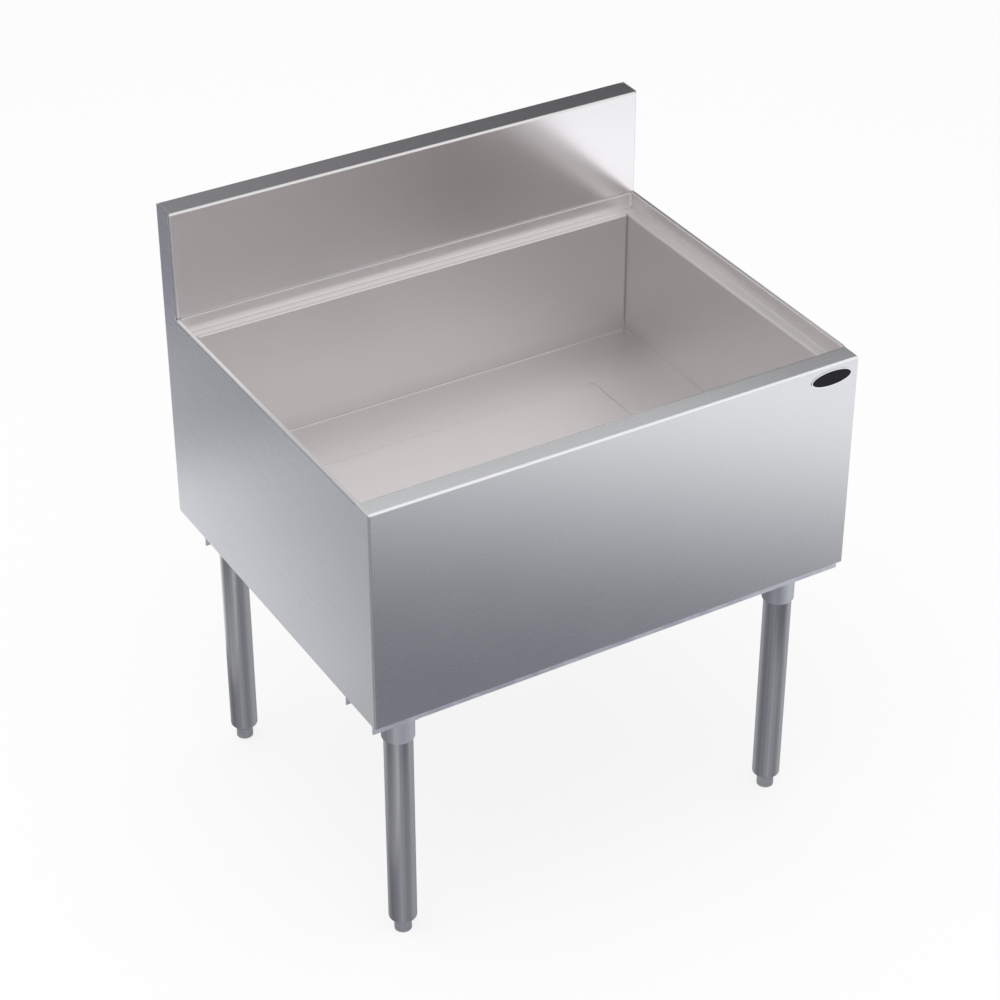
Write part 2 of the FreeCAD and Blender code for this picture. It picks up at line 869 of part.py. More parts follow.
def bullet_foot(x, y):
    """Tapered foot: round shank, cone up to the tube, and the stud's hole."""
    return turned(
        [
            (0, 0),
            (foot_shank_radius - foot_edge, 0),
            (foot_shank_radius, foot_edge),
            (foot_shank_radius, foot_shank_height),
            (foot_top_radius, foot_height - foot_edge),
            (foot_top_radius, foot_height),
            (stud_radius + running_gap, foot_height),
            (stud_radius + running_gap, foot_floor),
            (0, foot_floor),
        ],
        x,
        y,
    )


# ---------------------------------------------------------------- badge


def oval(length, height, front, back):
    """An upright elliptical plate on the apron's face."""
    middle = FreeCAD.Vector(half_width - badge_from_side, front, rim_height - badge_below_rim)
    ellipse = Part.Ellipse(FreeCAD.Vector(0, 0, 0), length / 2, height / 2)
    face = Part.Face(Part.Wire(ellipse.toShape()))
    face.rotate(FreeCAD.Vector(0, 0, 0), FreeCAD.Vector(1, 0, 0), 90)
    face.translate(middle)
    return face.extrude(FreeCAD.Vector(0, back - front, 0))


def badge_frame():
    """Oval plate with a raised border."""
    front = front_face - badge_thickness
    plate = oval(badge_length, badge_height, front, front_face)
    well = oval(
        badge_length - 2 * badge_border,
        badge_height - 2 * badge_border,
        front - cut,
        front + badge_face_depth + badge_recess,
    )
    return plate.cut(well)


def badge_face():
    """Bare dark oval laid in the border."""
    front = front_face - badge_thickness + badge_recess
    return oval(
        badge_length - 2 * badge_border - 2 * running_gap,
        badge_height - 2 * badge_border - 2 * running_gap,
        front,
        front + badge_face_depth,
    )


# ---------------------------------------------------------------- assembly

side_panel = right_side_panel()
pieces = {
    "front_apron": front_apron(),
    "left_side_panel": mirrored(side_panel),
    "right_side_panel": side_panel,
    "backsplash": backsplash(),
    "rear_panel": rear_panel(),
    "rear_panel_rivets": rear_panel_rivets(),
    "bottom_pan": bottom_pan(),
    "bin_liner": bin_liner(),
    "drain_body": drain_body(),
    "drain_gasket": ring(
        drain_flange_radius, liner_hole_radius, drain_seat, drain_seat + drain_gasket
    ),
    "drain_washer": ring(
        drain_washer_radius, liner_hole_radius, drain_seat - sheet - drain_washer, drain_seat - sheet
    ),
    "drain_locknut": drain_locknut(),
    "drain_tailpiece": drain_tailpiece(),
    "drain_grommet": drain_grommet(),
    "drain_strainer": drain_strainer(),
    "strainer_screw": strainer_screw(),
    "front_leg_channel": leg_channel(front_leg_y, 0.0),
    "rear_leg_channel": leg_channel(rear_leg_y, channel_notch),
    "channel_screws": channel_screw_group(),
    "socket_set_screws": set_screws(),
    "badge_frame": badge_frame(),
    "badge_face": badge_face(),
}
pieces.update(insulation())
for place, (x, y) in legs.items():
    pieces[place + "_leg_socket"] = leg_socket(x, y)
    pieces[place + "_leg_tube"] = leg_tube(x, y)
    pieces[place + "_foot_insert"] = foot_insert(x, y)
    pieces[place + "_foot_stud"] = foot_stud(x, y)
    pieces[place + "_bullet_foot"] = bullet_foot(x, y)

os.makedirs("parts", exist_ok=True)
for name, shape in pieces.items():
    shape.exportStep("parts/" + name + ".step")
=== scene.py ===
import math

import bmesh
import bpy
from mathutils import Euler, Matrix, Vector


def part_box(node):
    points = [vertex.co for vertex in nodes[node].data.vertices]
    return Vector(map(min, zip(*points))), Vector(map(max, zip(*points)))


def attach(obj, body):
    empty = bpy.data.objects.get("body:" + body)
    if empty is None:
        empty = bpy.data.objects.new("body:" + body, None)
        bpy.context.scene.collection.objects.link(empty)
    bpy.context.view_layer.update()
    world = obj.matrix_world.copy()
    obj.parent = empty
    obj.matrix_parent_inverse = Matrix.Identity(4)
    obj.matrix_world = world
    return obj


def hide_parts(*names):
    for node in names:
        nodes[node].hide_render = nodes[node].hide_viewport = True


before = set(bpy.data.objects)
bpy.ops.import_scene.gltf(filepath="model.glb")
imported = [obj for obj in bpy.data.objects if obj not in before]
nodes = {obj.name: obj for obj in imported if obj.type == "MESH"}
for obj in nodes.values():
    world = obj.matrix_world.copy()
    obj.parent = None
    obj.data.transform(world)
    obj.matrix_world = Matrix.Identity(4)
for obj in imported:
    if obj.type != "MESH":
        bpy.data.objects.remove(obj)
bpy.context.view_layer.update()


# ------------------------------------------------------------------ inner bin
# The bin that holds the ice: one stainless sheet folded and welded, with a ledge all round
# for a lid and a shallow recess pressed into its floor. Its finish is a fine level grain with
# soft smears from wiping, rougher in the side bends and darker where the corners are welded.
# Its bends carry painted shade, darkest where the walls meet the floor.

bin_floor_level = 0.5424
ledge_level = 0.7434


def link(tree, source, socket):
    """Joins a node's first output, or a named output, to a socket."""
    output = source if isinstance(source, bpy.types.NodeSocket) else source.outputs[0]
    tree.links.new(output, socket)


def feeding(shader, name):
    """What is linked to one of the shader's sockets so far."""
    return shader.inputs[name].links[0].from_socket


def worked_out(tree, operation, *values):
    """One calculation, such as ADD or ABSOLUTE, on sockets or plain numbers."""
    step = tree.nodes.new("ShaderNodeMath")
    step.operation = operation
    for value, socket in zip(values, step.inputs):
        if isinstance(value, (int, float)):
            socket.default_value = value
        else:
            link(tree, value, socket)
    return step.outputs[0]


def sum_of(tree, first, second):
    return worked_out(tree, "ADD", first, second)


def product_of(tree, first, second):
    return worked_out(tree, "MULTIPLY", first, second)


def scaled_places(tree, scale):
    """The piece's own coordinates in metres, multiplied by a scale on each axis."""
    places = tree.nodes.new("ShaderNodeTexCoord")
    mapping = tree.nodes.new("ShaderNodeMapping")
    mapping.inputs["Scale"].default_value = scale
    link(tree, places.outputs["Object"], mapping.inputs["Vector"])
    return mapping.outputs["Vector"]


def cloud(tree, where, size, detail=2.0, roughness=0.5):
    """A noise of a given size in metres."""
    noise = tree.nodes.new("ShaderNodeTexNoise")
    noise.inputs["Scale"].default_value = 1.0 / size
    noise.inputs["Detail"].default_value = detail
    noise.inputs["Roughness"].default_value = roughness
    link(tree, where, noise.inputs["Vector"])
    return noise.outputs["Fac"]


def between(tree, value, low, high, out_low, out_high):
    """The value's range from low to high, laid onto another range."""
    spread = tree.nodes.new("ShaderNodeMapRange")
    ends = {"From Min": low, "From Max": high, "To Min": out_low, "To Max": out_high}
    for name, number in ends.items():
        spread.inputs[name].default_value = number
    link(tree, value, spread.inputs["Value"])
    return spread.outputs["Result"]


def shaded(tree, amount, dark, light):
    """A colour between two, by an amount from 0 to 1."""
    ramp = tree.nodes.new("ShaderNodeMix")
    ramp.data_type = "RGBA"
    ramp.inputs["A"].default_value = (*dark, 1.0)
    ramp.inputs["B"].default_value = (*light, 1.0)
    link(tree, amount, ramp.inputs["Factor"])
    return ramp.outputs["Result"]


def bumped(tree, height, depth, shader, strength=1.0):
    """A fine relief, its depth in metres, on the shader's normal."""
    bump = tree.nodes.new("ShaderNodeBump")
    bump.inputs["Strength"].default_value = strength
    bump.inputs["Distance"].default_value = depth
    link(tree, height, bump.inputs["Height"])
    link(tree, bump.outputs["Normal"], shader.inputs["Normal"])


def new_finish(name):
    """An empty material with its main shader."""
    finish = bpy.data.materials.new(name)
    finish.use_nodes = True
    return finish, finish.node_tree, finish.node_tree.nodes["Principled BSDF"]


def facing(tree, axis):
    """How far the surface faces along an axis, from -1 to 1."""
    shape = tree.nodes.new("ShaderNodeNewGeometry")
    parts = tree.nodes.new("ShaderNodeSeparateXYZ")
    link(tree, shape.outputs["Normal"], parts.inputs[0])
    return parts.outputs[axis]


def level_grain(tree, fine, long):
    """Brush lines that run level on every face: along the width, and front to back on the sides."""
    along_width = scaled_places(tree, (1 / long, 1 / fine, 1 / fine))
    along_depth = scaled_places(tree, (1 / fine, 1 / long, 1 / fine))
    half_turned = 0.71
    is_side = worked_out(tree, "GREATER_THAN", worked_out(tree, "ABSOLUTE", facing(tree, "X")), half_turned)
    choice = tree.nodes.new("ShaderNodeMix")
    choice.data_type = "VECTOR"
    vector_a, vector_b, vector_result = 4, 5, 1
    link(tree, is_side, choice.inputs["Factor"])
    link(tree, along_width, choice.inputs[vector_a])
    link(tree, along_depth, choice.inputs[vector_b])
    return choice.outputs[vector_result]


def placed(tree, axis):
    """The place along an axis, in metres."""
    places = tree.nodes.new("ShaderNodeTexCoord")
    parts = tree.nodes.new("ShaderNodeSeparateXYZ")
    link(tree, places.outputs["Object"], parts.inputs[0])
    return parts.outputs[axis]


def turned_edges(tree, first, second, low=0.05, high=0.2):
    """1 where the surface turns from one of two directions to the other, as in a bend, else 0."""
    turned = worked_out(tree, "ABSOLUTE", product_of(tree, facing(tree, first), facing(tree, second)))
    return between(tree, turned, low, high, 0.0, 1.0)


def tinted(tree, amount, colour, other):
    """A colour that turns into another one by an amount."""
    blend = tree.nodes.new("ShaderNodeMix")
    blend.data_type = "RGBA"
    link(tree, amount, blend.inputs["Factor"])
    link(tree, colour, blend.inputs["A"])
    blend.inputs["B"].default_value = (*other, 1.0)
    return blend.outputs["Result"]


def brushed_sheet(name, dark, light, roughness):
    """Stainless sheet with a fine level grain, an even polish and faint smears."""
    finish, tree, shader = new_finish(name)
    lines = cloud(tree, level_grain(tree, 0.0003, 0.16), 1.0, 2.0, 0.6)
    smears = cloud(tree, scaled_places(tree, (1, 1, 1.6)), 0.16, 3.0, 0.55)
    patches = cloud(tree, scaled_places(tree, (1, 1, 1)), 0.5, 1.0, 0.5)
    tone = sum_of(
        tree,
        between(tree, lines, 0.3, 0.7, -0.04, 0.04),
        between(tree, patches, 0.3, 0.7, 0.4, 0.6),
    )
    link(tree, shaded(tree, tone, dark, light), shader.inputs["Base Color"])
    polish = sum_of(
        tree,
        between(tree, lines, 0.3, 0.7, roughness - 0.01, roughness + 0.01),
        between(tree, smears, 0.35, 0.65, -0.006, 0.008),
    )
    link(tree, polish, shader.inputs["Roughness"])
    shader.inputs["Metallic"].default_value = 1.0
    bumped(tree, lines, 0.000002, shader, 0.02)
    return finish, tree, shader


def dress(finish, *names):
    """Puts a finish on CAD pieces that keep their shape."""
    for name in names:
        slots = nodes[name].data.materials
        slots.clear()
        slots.append(finish)


bin_steel, tree, shader = brushed_sheet("bin_steel", (0.76, 0.735, 0.735), (0.82, 0.795, 0.795), 0.40)
colour = feeding(shader, "Base Color")
height = placed(tree, "Z")
above_floor = between(tree, height, bin_floor_level - 0.00005, bin_floor_level + 0.0001, 0.0, 1.0)
# Painted shade: the bends are tinted darker, most where the walls meet the floor.
for side, shade_above_floor in (("X", 0.1), ("Y", 0.62)):
    bend = product_of(tree, turned_edges(tree, side, "Z"), between(tree, above_floor, 0, 1, 0.8, shade_above_floor))
    colour = tinted(tree, bend, colour, (0.48, 0.46, 0.455))
side_bend = product_of(tree, turned_edges(tree, "X", "Z"), between(tree, above_floor, 0, 1, 0.0, 0.35))
link(tree, sum_of(tree, feeding(shader, "Roughness"), side_bend), shader.inputs["Roughness"])

below_ledge = between(tree, height, ledge_level - 0.0034, ledge_level + 0.0006, 1.0, 0.0)
weld = product_of(tree, turned_edges(tree, "X", "Y", 0.1, 0.3), below_ledge)
colour = tinted(tree, weld, colour, (0.34, 0.32, 0.31))

# Shade that the studio leaves in the bin, here fixed to the steel: the back of the floor and
# the right wall are darker, and the back wall is lighter.
on_floor = between(tree, height, bin_floor_level + 0.0076, bin_floor_level + 0.0276, 1.0, 0.0)
rear_of_floor = product_of(tree, between(tree, placed(tree, "Y"), 0.12, 0.2, 0.0, 0.5), on_floor)
colour = tinted(tree, rear_of_floor, colour, (0.55, 0.53, 0.53))
right_wall = product_of(tree, between(tree, facing(tree, "X"), -0.95, -0.8, 0.35, 0.0), below_ledge)
colour = tinted(tree, right_wall, colour, (0.64, 0.618, 0.615))
back_wall = between(tree, facing(tree, "Y"), -0.95, -0.8, 0.5, 0.0)
colour = tinted(tree, back_wall, colour, (0.93, 0.90, 0.90))
link(tree, colour, shader.inputs["Base Color"])
dress(bin_steel, "bin_liner")


# ------------------------------------------------------------------ insulation
# Five blocks of rigid closed-cell foam, sawn to fit round the bin and bonded to it. The saw
# leaves open cells and shallow lines, and the foam has yellowed a little.

foam, tree, shader = new_finish("sawn_foam")
cells = cloud(tree, scaled_places(tree, (1, 1, 1)), 0.0022, 4.0, 0.6)
saw = cloud(tree, scaled_places(tree, (3, 3, 220)), 1.0, 2.0)
aged = cloud(tree, scaled_places(tree, (1, 1, 1)), 0.12, 3.0)
link(tree, shaded(tree, aged, (0.78, 0.70, 0.50), (0.90, 0.85, 0.70)), shader.inputs["Base Color"])
link(tree, between(tree, cells, 0.3, 0.7, 0.82, 0.95), shader.inputs["Roughness"])
bumped(tree, sum_of(tree, cells, between(tree, saw, 0.3, 0.7, 0.0, 0.6)), 0.0006, shader)
dress(
    foam, "front_insulation", "rear_insulation", "left_insulation", "right_insulation", "bottom_insulation"
)


# ------------------------------------------------------------------ drain
# A flanged stainless drain sits in the floor on a rubber gasket, drawn down by a brass nut
# on a fibre washer. A chrome tailpiece leads the melt water through a grommet in the pan,
# and one slotted screw holds the punched strainer.


def turned_metal(name, dark, light, roughness, ring=0.0005, depth=0.000003):
    """Turned or drawn metal: fine rings round the piece, and an uneven polish."""
    finish, tree, shader = new_finish(name)
    rings = cloud(tree, scaled_places(tree, (9, 9, 1 / ring)), 1.0, 2.0, 0.6)
    patches = cloud(tree, scaled_places(tree, (1, 1, 1)), 0.018, 3.0)
    link(tree, shaded(tree, between(tree, patches, 0.3, 0.7, 0, 1), dark, light), shader.inputs["Base Color"])
    polish = sum_of(
        tree,
        between(tree, rings, 0.3, 0.7, roughness - 0.04, roughness + 0.04),
        between(tree, patches, 0.3, 0.7, -0.03, 0.03),
    )
    link(tree, polish, shader.inputs["Roughness"])
    shader.inputs["Metallic"].default_value = 1.0
    bumped(tree, rings, depth, shader, 0.6)
    return finish


drain_steel = turned_metal("drain_steel", (0.52, 0.52, 0.52), (0.62, 0.62, 0.62), 0.26)
dress(drain_steel, "drain_body", "drain_strainer")
dress(turned_metal("tail_chrome", (0.62, 0.63, 0.64), (0.70, 0.71, 0.72), 0.10), "drain_tailpiece")
dress(turned_metal("nut_brass", (0.52, 0.36, 0.14), (0.70, 0.52, 0.24), 0.34), "drain_locknut")
dress(turned_metal("screw_zinc", (0.50, 0.52, 0.54), (0.60, 0.62, 0.65), 0.30), "strainer_screw")

rubber, tree, shader = new_finish("seal_rubber")
bloom = cloud(tree, scaled_places(tree, (1, 1, 1)), 0.006, 4.0, 0.6)
link(tree, shaded(tree, bloom, (0.018, 0.018, 0.018), (0.045, 0.045, 0.045)), shader.inputs["Base Color"])
link(tree, between(tree, bloom, 0.3, 0.7, 0.55, 0.8), shader.inputs["Roughness"])
bumped(tree, bloom, 0.00008, shader)
dress(rubber, "drain_gasket", "drain_grommet")

fibre, tree, shader = new_finish("red_fibre")
strands = cloud(tree, scaled_places(tree, (1, 1, 4)), 0.0012, 4.0, 0.7)
link(tree, shaded(tree, strands, (0.26, 0.09, 0.05), (0.44, 0.19, 0.12)), shader.inputs["Base Color"])
link(tree, between(tree, strands, 0.3, 0.7, 0.7, 0.9), shader.inputs["Roughness"])
bumped(tree, strands, 0.00006, shader)
dress(fibre, "drain_washer")


# ------------------------------------------------------------------ pan and channels
# A galvanised pan closes the casing from below, and two galvanised channels are screwed up
# into it to carry the legs. Hot zinc leaves flat grey crystals of several shades.

crystal_size = 1 / 70


def galvanised(name, dark, light):
    """Zinc-coated sheet with its crystal pattern."""
    finish, tree, shader = new_finish(name)
    crystals = tree.nodes.new("ShaderNodeTexVoronoi")
    crystals.inputs["Scale"].default_value = 1.0 / crystal_size
    link(tree, scaled_places(tree, (1, 1, 1)), crystals.inputs["Vector"])
    shades = tree.nodes.new("ShaderNodeSeparateColor")
    link(tree, crystals.outputs["Color"], shades.inputs[0])
    bloom = cloud(tree, scaled_places(tree, (1, 1, 1)), 0.05, 4.0, 0.6)
    tone = sum_of(
        tree,
        between(tree, shades.outputs["Red"], 0, 1, 0.2, 0.6),
        between(tree, bloom, 0.3, 0.7, -0.2, 0.4),
    )
    link(tree, shaded(tree, tone, dark, light), shader.inputs["Base Color"])
    polish = sum_of(
        tree,
        between(tree, shades.outputs["Green"], 0, 1, 0.36, 0.48),
        between(tree, bloom, 0.3, 0.7, -0.04, 0.08),
    )
    link(tree, polish, shader.inputs["Roughness"])
    shader.inputs["Metallic"].default_value = 1.0
    bumped(tree, shades.outputs["Blue"], 0.00001, shader, 0.4)
    return finish


pan_zinc = galvanised("pan_zinc", (0.42, 0.44, 0.47), (0.62, 0.64, 0.67))
dress(pan_zinc, "bottom_pan")
# Painted light: the channels are the pan's zinc, painted much lighter and bluer.
channel_zinc = galvanised("channel_zinc", (0.72, 0.74, 0.80), (0.86, 0.88, 0.94))
dress(channel_zinc, "front_leg_channel", "rear_leg_channel")


# ------------------------------------------------------------------ outer panels
# The front apron wraps both front corners and folds back into the flat rim, the sides run
# up the ends of the backsplash, and the backsplash is a folded box. All are satin stainless
# sheet with a level grain, a shade cooler than the bin.

under_front_rim = 0.76
under_splash_top = 0.92
panel_colours = ((0.68, 0.685, 0.705), (0.74, 0.745, 0.768))


def level_bend_above(tree, level):
    """1 in the bends along the width that lie above a level, else 0."""
    above = between(tree, placed(tree, "Z"), level - 0.01, level, 0.0, 1.0)
    return product_of(tree, turned_edges(tree, "Y", "Z"), above)


def graded(tree, value, stops, easing="LINEAR"):
    """An amount that runs through (value, amount) stops, for values from 0 to 1."""
    ramp = tree.nodes.new("ShaderNodeValToRGB")
    ramp.color_ramp.interpolation = easing
    link(tree, value, ramp.inputs["Fac"])
    points = ramp.color_ramp.elements
    while len(points) < len(stops):
        points.new(0.5)
    for point, (place, amount) in zip(points, stops):
        point.position = place
        point.color = (amount, amount, amount, 1.0)
    return ramp.outputs["Color"]


front_steel, tree, shader = brushed_sheet("front_steel", (0.679, 0.686, 0.696), (0.738, 0.746, 0.758), 0.27)
# Painted highlight: the top bend of the front is painted lighter.
bend_highlight = tinted(
    tree, level_bend_above(tree, under_front_rim), feeding(shader, "Base Color"), (0.80, 0.805, 0.815)
)
link(tree, bend_highlight, shader.inputs["Base Color"])
dress(front_steel, "front_apron")

side_steel, tree, shader = brushed_sheet("side_steel", *panel_colours, 0.27)

# Painted reflections: the long bend along the left side is painted dark, and its rim bright, for what they
# mirror.
upward = facing(tree, "Z")
dark_bend_reflection = graded(tree, upward, ((0.05, 0.0), (0.12, 0.75), (0.5, 0.75), (0.59, 0.0)))
colour = tinted(tree, dark_bend_reflection, feeding(shader, "Base Color"), (0.30, 0.30, 0.31))
below_splash = between(tree, placed(tree, "Z"), 0.80, 0.82, 1, 0)
rim_highlight = product_of(tree, between(tree, upward, 0.59, 0.68, 0, 1), below_splash)
link(tree, tinted(tree, rim_highlight, colour, (0.98, 0.98, 0.98)), shader.inputs["Base Color"])
dress(side_steel, "left_side_panel")
dress(brushed_sheet("panel_steel", *panel_colours, 0.27)[0], "right_side_panel")

splash_steel, tree, shader = brushed_sheet("splash_steel", (0.855, 0.838, 0.845), (0.91, 0.893, 0.90), 0.21)
# Painted shade: the top bend of the backsplash is painted darker, to tone down its highlight.
bend_shade = tinted(
    tree, level_bend_above(tree, under_splash_top), feeding(shader, "Base Color"), (0.70, 0.69, 0.69)
)
link(tree, bend_shade, shader.inputs["Base Color"])
dress(splash_steel, "backsplash")


# ------------------------------------------------------------------ rear panel
# A flat galvanised sheet closes the back, held by blind aluminium rivets to the returns of
# the sides, the pan and the backsplash.

rear_zinc = galvanised("rear_zinc", (0.44, 0.46, 0.49), (0.64, 0.66, 0.69))
dress(rear_zinc, "rear_panel")
dress(turned_metal("rivet_aluminium", (0.60, 0.60, 0.61), (0.72, 0.72, 0.73), 0.38), "rear_panel_rivets")


# ------------------------------------------------------------------ legs
# Each leg is a drawn stainless tube in a round socket that is welded under its channel, and
# a set screw on the inner side locks it. The drawing leaves long streaks down the tube.


def drawn_tube(name, around, dark, light, roughness):
    """Drawn tube with streaks down its length, and painted reflections as light and dark bands at (degrees,
    amount).
    """
    finish, tree, shader = new_finish(name)
    streaks = cloud(tree, scaled_places(tree, (500, 500, 2)), 1.0, 2.0, 0.6)
    thin = cloud(tree, scaled_places(tree, (150, 150, 0.6)), 1.0, 1.0, 0.4)
    turn = worked_out(tree, "ARCTAN2", facing(tree, "Y"), facing(tree, "X"))
    stops = [((degrees + 180) / 360, amount) for degrees, amount in around]
    bands = graded(tree, between(tree, turn, -math.pi, math.pi, 0.0, 1.0), stops, "EASE")
    worn = sum_of(
        tree,
        between(tree, streaks, 0.3, 0.7, -0.05, 0.05),
        between(tree, thin, 0.35, 0.65, -0.05, 0.05),
    )
    link(tree, shaded(tree, sum_of(tree, bands, worn), dark, light), shader.inputs["Base Color"])
    polish = sum_of(
        tree,
        between(tree, streaks, 0.3, 0.7, roughness - 0.02, roughness + 0.02),
        between(tree, thin, 0.35, 0.65, 0.02, -0.02),
    )
    link(tree, polish, shader.inputs["Roughness"])
    shader.inputs["Metallic"].default_value = 1.0
    bumped(tree, streaks, 0.000003, shader, 0.15)
    return finish


legs = ("front_left", "front_right", "rear_left", "rear_right")

# The bands stand for what a bright tube mirrors of a studio. They stay where they are on it.
tube_bands = (
    (-180, 0.45), (-172, 0.23), (-160, 0.15), (-146, 0.26), (-133, 0.43), (-119, 0.70), (-108, 0.50),
    (-96, 0.32), (-86, 0.36), (-71, 0.76), (-50, 0.72), (-25, 0.35), (0, 0.60), (25, 0.25), (55, 0.60),
    (80, 0.30), (110, 0.70), (140, 0.35), (160, 0.75), (172, 0.75), (180, 0.45),
)
tube_steel = drawn_tube("tube_steel", tube_bands, (0.25, 0.252, 0.26), (0.75, 0.755, 0.77), 0.24)
# The sockets' bands are painted reflections as well.
socket_bands = (
    (-180, 0.03), (-168, 0.12), (-156, 0.24), (-140, 0.40), (-130, 0.50), (-118, 0.70), (-103, 0.85),
    (-88, 0.93), (-71, 0.85), (-52, 0.80), (0, 0.60), (60, 0.70), (120, 0.40), (150, 0.05), (180, 0.03),
)
socket_steel = drawn_tube("socket_steel", socket_bands, (0.30, 0.31, 0.33), (0.90, 0.92, 0.96), 0.36)
dress(tube_steel, *[leg + "_leg_tube" for leg in legs])
dress(socket_steel, *[leg + "_leg_socket" for leg in legs])
screw_zinc = turned_metal("fixing_zinc", (0.48, 0.50, 0.52), (0.60, 0.62, 0.65), 0.34)
dress(screw_zinc, "socket_set_screws", "channel_screws")


# ------------------------------------------------------------------ bullet feet
# Each foot is turned from stainless bar, with a cone under the tube and a short round shank
# on the floor. Its threaded stud screws into a plug pressed into the tube, so that turning
# the foot sets the height.

foot_steel = turned_metal("foot_steel", (0.46, 0.465, 0.48), (0.58, 0.585, 0.60), 0.30, 0.0004, 0.000004)
dress(foot_steel, *[leg + "_bullet_foot" for leg in legs])
dress(foot_steel, *[leg + "_foot_insert" for leg in legs])

thread_pitch = 0.0254 / 11
thread_depth = 0.0013
thread_runout = 1.5 * thread_pitch
thread_sides = 40
thread_finish = turned_metal("rolled_thread", (0.44, 0.44, 0.45), (0.56, 0.56, 0.57), 0.26)


def threaded_rod(name, low, high, radius, x, y):
    """A rod with a rolled thread between two levels, run out to the thread's root at both ends.

    The profile is the share of a turn, and how far the thread is sunk there, from crest to root.
    """
    mesh = bmesh.new()
    profile = ((0.0, 0.0), (0.18, 0.0), (0.5, 1.0), (0.68, 1.0))
    total = thread_sides * (math.ceil((high - low) / thread_pitch) + 2)
    tracks = []
    for share, sunk in profile:
        track = []
        for n in range(total + 1):
            level = low + thread_pitch * (n / thread_sides - 1 + share)
            level = min(max(level, low), high)
            kept = min(1.0, (level - low) / thread_runout, (high - level) / thread_runout)
            reach = radius - thread_depth * max(sunk, 1.0 - kept)
            turned = 2 * math.pi * n / thread_sides
            place = (x + reach * math.cos(turned), y + reach * math.sin(turned), level)
            track.append(mesh.verts.new(place))
        tracks.append(track)
    for lower, upper in zip(tracks, tracks[1:]):
        for n in range(total):
            mesh.faces.new((lower[n], lower[n + 1], upper[n + 1], upper[n]))
    for n in range(total - thread_sides):
        above = n + thread_sides
        mesh.faces.new((tracks[-1][n], tracks[-1][n + 1], tracks[0][above + 1], tracks[0][above]))
    bmesh.ops.remove_doubles(mesh, verts=mesh.verts, dist=0.000001)
    bmesh.ops.holes_fill(mesh, edges=[edge for edge in mesh.edges if edge.is_boundary], sides=0)
    bmesh.ops.recalc_face_normals(mesh, faces=mesh.faces)
    data = bpy.data.meshes.new(name)
    mesh.to_mesh(data)
    mesh.free()
    rod = bpy.data.objects.new(name, data)
    bpy.context.scene.collection.objects.link(rod)
    return rod


for leg in legs:
    lowest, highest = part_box(leg + "_foot_stud")
    middle = (lowest + highest) / 2
    radius = (highest.x - lowest.x) / 2
    rod = threaded_rod(leg + "_threaded_stud", lowest.z, highest.z, radius, middle.x, middle.y)
    rod.data.materials.append(thread_finish)
    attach(rod, leg + "_stud")
    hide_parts(leg + "_foot_stud")


# ------------------------------------------------------------------ badge
# A small oval plate near the right end of the front, bare: a black enamelled face inside a
# bright raised border.

enamel, tree, shader = new_finish("black_enamel")
ripple = cloud(tree, scaled_places(tree, (1, 1, 1)), 0.004, 2.0)
link(tree, shaded(tree, ripple, (0.004, 0.004, 0.005), (0.010, 0.010, 0.012)), shader.inputs["Base Color"])
link(tree, between(tree, ripple, 0.3, 0.7, 0.16, 0.26), shader.inputs["Roughness"])
shader.inputs["Specular IOR Level"].default_value = 0.12
bumped(tree, ripple, 0.00003, shader)
dress(enamel, "badge_face")
dress(turned_metal("badge_bright", (0.66, 0.66, 0.67), (0.78, 0.78, 0.79), 0.16), "badge_frame")


# ------------------------------------------------------------------ studio
# A pale floor that runs out of sight, a white room and a soft box overhead, with the camera
# where the photograph was taken from. Four cards that only the metal sees give it the light
# and dark parts of a studio to mirror.

floor_reach = 30.0
floor_mesh = bpy.data.meshes.new("studio_floor")
floor_mesh.from_pydata(
    [
        (-floor_reach, -floor_reach, 0),
        (floor_reach, -floor_reach, 0),
        (floor_reach, floor_reach, 0),
        (-floor_reach, floor_reach, 0),
    ],
    [],
    [(0, 1, 2, 3)],
)
floor = bpy.data.objects.new("studio_floor", floor_mesh)
bpy.context.scene.collection.objects.link(floor)


def seen_directly(tree):
    """1 for rays from the camera and for those mirrored or passed on by the pieces."""
    path = tree.nodes.new("ShaderNodeLightPath")
    seen = worked_out(tree, "MAXIMUM", path.outputs["Is Camera Ray"], path.outputs["Is Glossy Ray"])
    return worked_out(tree, "MAXIMUM", seen, path.outputs["Is Transmission Ray"])


floor_glow = 0.8
paper, tree, shader = new_finish("pale_floor")
shader.inputs["Base Color"].default_value = (0.92, 0.92, 0.92, 1)
shader.inputs["Roughness"].default_value = 0.9
shader.inputs["Specular IOR Level"].default_value = 0.0
glow = tree.nodes.new("ShaderNodeEmission")
glow.inputs["Strength"].default_value = 1.0
mixed = tree.nodes.new("ShaderNodeMixShader")
link(tree, product_of(tree, seen_directly(tree), floor_glow), mixed.inputs["Fac"])
link(tree, shader, mixed.inputs[1])
link(tree, glow, mixed.inputs[2])
link(tree, mixed, tree.nodes["Material Output"].inputs["Surface"])
floor_mesh.materials.append(paper)

# The room is plain white to the eye. Mirrored, it is brighter toward the right front.
brighter_toward = (0.62, -0.68, -0.38)
world = bpy.data.worlds.new("white_room")
bpy.context.scene.world = world
world.use_nodes = True
tree = world.node_tree
room = tree.nodes["Background"]
room.inputs["Color"].default_value = (1, 1, 1, 1)
toward = tree.nodes.new("ShaderNodeTexCoord")
bright_side = tree.nodes.new("ShaderNodeVectorMath")
bright_side.operation = "DOT_PRODUCT"
link(tree, toward.outputs["Generated"], bright_side.inputs[0])
bright_side.inputs[1].default_value = brighter_toward
path = tree.nodes.new("ShaderNodeLightPath")
mirrored = product_of(
    tree,
    between(tree, bright_side.outputs["Value"], -1.0, 1.0, -0.2, 0.2),
    path.outputs["Is Glossy Ray"],
)
strength = sum_of(tree, between(tree, seen_directly(tree), 0.0, 1.0, 0.85, 1.0), mirrored)
link(tree, strength, room.inputs["Strength"])

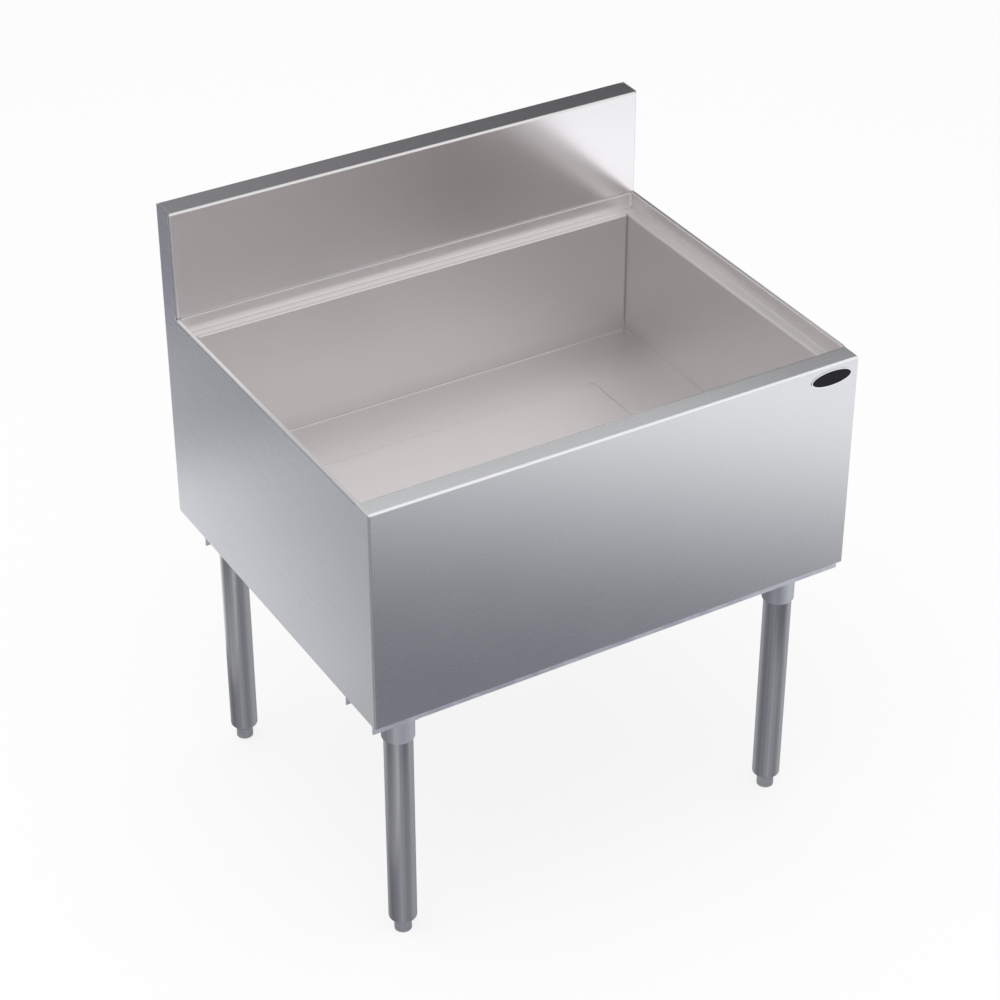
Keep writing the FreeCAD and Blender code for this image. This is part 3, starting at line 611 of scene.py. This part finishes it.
overhead = bpy.data.lights.new("overhead", "AREA")
overhead.shape = "SQUARE"
overhead.size = 3.0
overhead.energy = 40
soft_box = bpy.data.objects.new("overhead", overhead)
bpy.context.scene.collection.objects.link(soft_box)
soft_box.location = (-0.6, -0.4, 3.4)
aimed_at = Vector((0, 0, 0.6))
soft_box.rotation_euler = (aimed_at - soft_box.location).to_track_quat("-Z", "Y").to_euler()
soft_box.visible_glossy = False


bright_colour = (0.985, 0.99, 1.015)
cool_dim_colour = (0.9, 0.92, 1.07)
warm_dim_colour = (0.95, 0.94, 1.0)


def reflector(name, corners, dim_colour, *grades):
    """A card that only the metal sees. Each grade is a direction and (distance, brightness) stops."""
    mesh = bpy.data.meshes.new(name)
    mesh.from_pydata(corners, [], [tuple(range(len(corners)))])
    card = bpy.data.objects.new(name, mesh)
    bpy.context.scene.collection.objects.link(card)
    card.visible_camera = False
    card.visible_diffuse = False
    card.visible_shadow = False
    surface, tree, shader = new_finish(name)
    tree.nodes.remove(shader)
    places = tree.nodes.new("ShaderNodeTexCoord")
    light = tree.nodes.new("ShaderNodeEmission")
    level = None
    for along, stops in grades:
        distance = tree.nodes.new("ShaderNodeVectorMath")
        distance.operation = "DOT_PRODUCT"
        link(tree, places.outputs["Object"], distance.inputs[0])
        distance.inputs[1].default_value = Vector(along).normalized()
        first, last = stops[0][0], stops[-1][0]
        shares = [((stop - first) / (last - first), bright) for stop, bright in stops]
        reached = between(tree, distance.outputs["Value"], first, last, 0.0, 1.0)
        grade = graded(tree, reached, shares, "EASE")
        level = grade if level is None else product_of(tree, level, grade)
    link(tree, level, light.inputs["Strength"])
    tint = shaded(tree, between(tree, level, 0.2, 0.6, 0, 1), dim_colour, bright_colour)
    link(tree, tint, light.inputs["Color"])
    link(tree, light, tree.nodes["Material Output"].inputs["Surface"])
    mesh.materials.append(surface)


def level_card(name, x, y, *grades):
    """A card just above the floor, between two places across and two front to back."""
    height = 0.002
    corners = [(x[0], y[0], height), (x[1], y[0], height), (x[1], y[1], height), (x[0], y[1], height)]
    reflector(name, corners, cool_dim_colour, *grades)


to_the_right = (1.0, 0.0, 0.0)
to_the_left = (-1.0, 0.0, 0.0)
to_the_back = (0.0, 1.0, 0.0)
toward_right_front = (0.628, -0.778, 0.0)
front_stops = (
    (-0.4, 0.5), (0.2, 0.42), (0.58, 0.21), (0.75, 0.215), (0.92, 0.25), (1.15, 0.49), (1.4, 0.89),
    (1.62, 1.38), (1.85, 0.92),
)
left_stops_back = (
    (-0.33, 0.54), (0.15, 0.54), (0.42, 0.69), (0.7, 0.78), (0.92, 0.88), (1.12, 0.6), (1.4, 0.68),
    (1.6, 0.48), (2.4, 0.48),
)
left_stops_out = ((0.5, 1.2), (0.62, 1.1), (0.9, 0.55), (3.0, 0.55))
level_card("front_card", (-2.4, 2.8), (-3.0, -0.62), (toward_right_front, front_stops))
level_card("under_card", (-0.48, 1.2), (-0.62, 0.5), (to_the_right, ((-0.48, 0.42), (1.2, 0.5))))
level_card(
    "left_card", (-3.0, -0.48), (-0.62, 3.0), (to_the_back, left_stops_back), (to_the_left, left_stops_out)
)
rear_card_y = 0.95
rear_card_outline = ((-0.8, 0.7), (2.4, 0.7), (2.4, 2.0), (1.4, 1.86), (0.85, 1.62), (-0.8, 1.50))
reflector(
    "rear_card",
    [(x, rear_card_y, z) for x, z in rear_card_outline],
    warm_dim_colour,
    (to_the_right, ((-0.5, 0.26), (0.9, 0.085))),
)

# The camera's place, turn and lens follow from the perspective of the photograph.
camera = bpy.data.cameras.new("camera")
camera.sensor_width = 36.0
camera.lens = 98.84
viewer = bpy.data.objects.new("camera", camera)
bpy.context.scene.collection.objects.link(viewer)
viewer.location = (-1.68408, -2.82837, 2.69530)
viewer.rotation_euler = Euler((0.979860, 0.0, -0.534425))
bpy.context.scene.camera = viewer
bpy.context.scene.view_settings.view_transform = "Standard"
